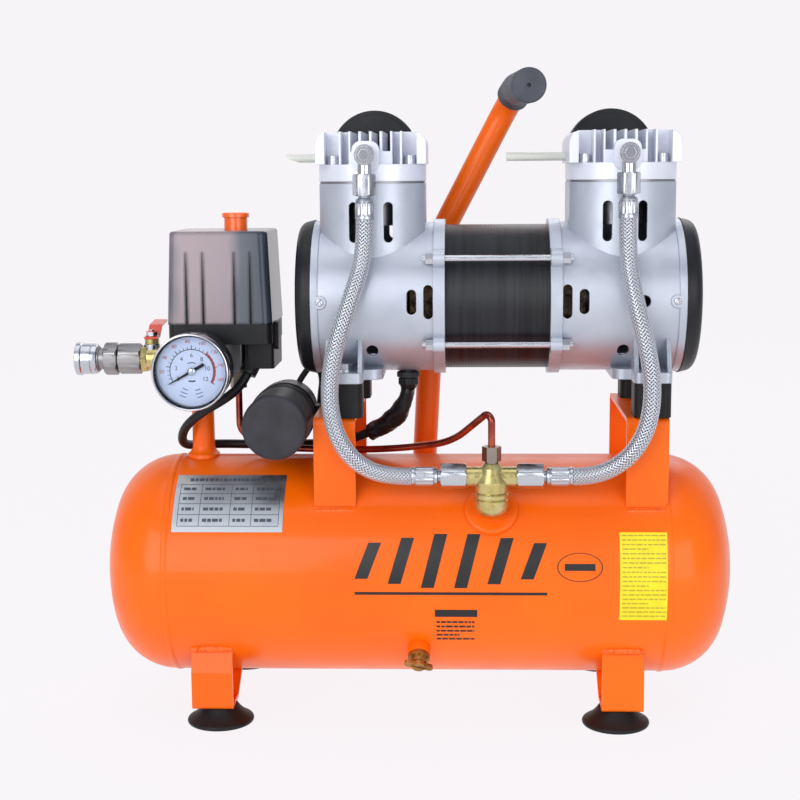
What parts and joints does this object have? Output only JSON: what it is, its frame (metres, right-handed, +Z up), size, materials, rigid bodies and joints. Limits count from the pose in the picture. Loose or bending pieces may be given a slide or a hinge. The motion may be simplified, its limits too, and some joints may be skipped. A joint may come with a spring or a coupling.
{
  "type": "portable air compressor",
  "caption": "Portable oil-free air compressor: an electric piston pump on rubber mounts over a horizontal tank, with hoses, check valve, pressure switch, gauge, quick coupler and handle.",
  "frame": {"origin": "on the floor, under the middle of the outline without the hoses and leads", "axes": "+X along the tank towards the end away from the outlet coupler, +Y from the gauge side to the back, +Z up"},
  "size_m": [0.4561, 0.1803, 0.4416],
  "materials": {
    "orange_paint": "gloss powder coat",
    "cast_aluminium": "satin, sprayed",
    "black_laminations": "satin, finely ribbed",
    "motor_steel": "plain",
    "copper_wire": "enamelled",
    "zinc_steel": "bright zinc",
    "chrome": "polished plate",
    "braided_steel": "woven wire",
    "brass": "machined",
    "copper_tube": "polished, lacquered",
    "black_rubber": "matte",
    "grip_foam": "matte",
    "matte_black_plastic": "fine texture",
    "gloss_black_plastic": "smoked gloss",
    "orange_plastic": "gloss",
    "dial_face": "printed",
    "gauge_glass": "clear",
    "clear_tube": "translucent"
  },
  "bodies": {
    "frame": {"tank_shell": "orange_paint", "tank_heads": "orange_paint", "tank_bosses": "orange_paint", "legs": "orange_paint", "pump_brackets": "orange_paint", "handle_tube": "orange_paint", "handle_grip": "grip_foam", "rubber_feet": "black_rubber", "rubber_dampers": "black_rubber", "mounting_bolts": "zinc_steel", "crankcase_left": "cast_aluminium", "crankcase_right": "cast_aluminium", "stator_core": "black_laminations", "stator_windings": "copper_wire", "tie_rods": "zinc_steel", "bearings": "motor_steel", "cylinder_sleeves": "motor_steel", "valve_plates": "motor_steel", "cylinder_heads": "cast_aluminium", "head_screws": "zinc_steel", "fan_covers": "matte_black_plastic", "air_filters": "matte_black_plastic", "breather_tubes": "clear_tube", "banjo_fittings": "chrome", "hose_left": "braided_steel", "hose_right": "braided_steel", "hose_fittings": "chrome", "check_valve_body": "brass", "unload_tube": "copper_tube", "unload_nuts": "brass", "drain_body": "brass", "motor_gland": "black_rubber", "motor_lead": "black_rubber", "capacitor": "matte_black_plastic", "capacitor_clamp": "matte_black_plastic", "capacitor_lead": "black_rubber", "switch_cover": "gloss_black_plastic", "switch_base": "matte_black_plastic", "switch_mechanism": "motor_steel", "switch_manifold": "motor_steel", "gauge_case": "gloss_black_plastic", "gauge_bezel": "chrome", "gauge_dial": "dial_face", "gauge_lens": "gauge_glass", "outlet_valve_body": "brass", "outlet_adapter": "chrome", "coupler_body": "chrome", "coupler_spring": "motor_steel"},
    "rotor": {"rotor_shaft": "motor_steel", "rotor_core": "motor_steel", "eccentrics": "motor_steel", "fans": "matte_black_plastic"},
    "piston_left": {"piston_left": "cast_aluminium"},
    "piston_right": {"piston_right": "cast_aluminium"},
    "check_poppet": {"check_poppet": "black_rubber"},
    "coupler_sleeve": {"coupler_sleeve": "chrome"},
    "switch_knob": {"switch_knob": "orange_plastic"},
    "valve_lever": {"valve_lever": "orange_plastic"},
    "gauge_needle": {"gauge_needle": "matte_black_plastic"},
    "drain_key": {"drain_key": "brass"}
  },
  "joints": [
    {"name": "rotor_spin", "type": "hinge", "parent": "frame", "child": "rotor", "pos_m": [0.06535, -0.01065, 0.2884], "axis": [1, 0, 0], "continuous": true},
    {"name": "piston_left_rock", "type": "hinge", "parent": "rotor", "child": "piston_left", "pos_m": [-0.01825, -0.01065, 0.2944], "axis": [1, 0, 0], "continuous": true},
    {"name": "piston_right_rock", "type": "hinge", "parent": "rotor", "child": "piston_right", "pos_m": [0.14895, -0.01065, 0.2824], "axis": [1, 0, 0], "continuous": true},
    {"name": "poppet_lift", "type": "slide", "parent": "frame", "child": "check_poppet", "axis": [0, 0, 1], "range_m": [0, 0.002], "stiffness_N_per_m": 200, "springref_m": -0.003},
    {"name": "sleeve_pull", "type": "slide", "parent": "frame", "child": "coupler_sleeve", "axis": [1, 0, 0], "range_m": [0, 0.004], "stiffness_N_per_m": 1500, "springref_m": -0.004},
    {"name": "knob_push", "type": "slide", "parent": "frame", "child": "switch_knob", "axis": [0, 0, 1], "range_m": [-0.005, 0]},
    {"name": "lever_turn", "type": "hinge", "parent": "frame", "child": "valve_lever", "pos_m": [-0.17495, -0.01065, 0.2455], "axis": [0, 0, 1], "range_deg": [0, 90]},
    {"name": "needle_swing", "type": "hinge", "parent": "frame", "child": "gauge_needle", "pos_m": [-0.13485, -0.08115, 0.2455], "axis": [0, 1, 0], "range_deg": [0, 240], "stiffness_Nm_per_rad": 0.0005, "springref_deg": -11.46},
    {"name": "drain_turn", "type": "hinge", "parent": "frame", "child": "drain_key", "pos_m": [0.01265, -0.07618, 0.05461], "axis": [0, -0.8192, -0.5736], "range_deg": [0, 360]}
  ],
  "couplings": [
    {"joint": "piston_left_rock", "follows": "rotor_spin", "ratio": -1},
    {"joint": "piston_right_rock", "follows": "rotor_spin", "ratio": -1}
  ]
}
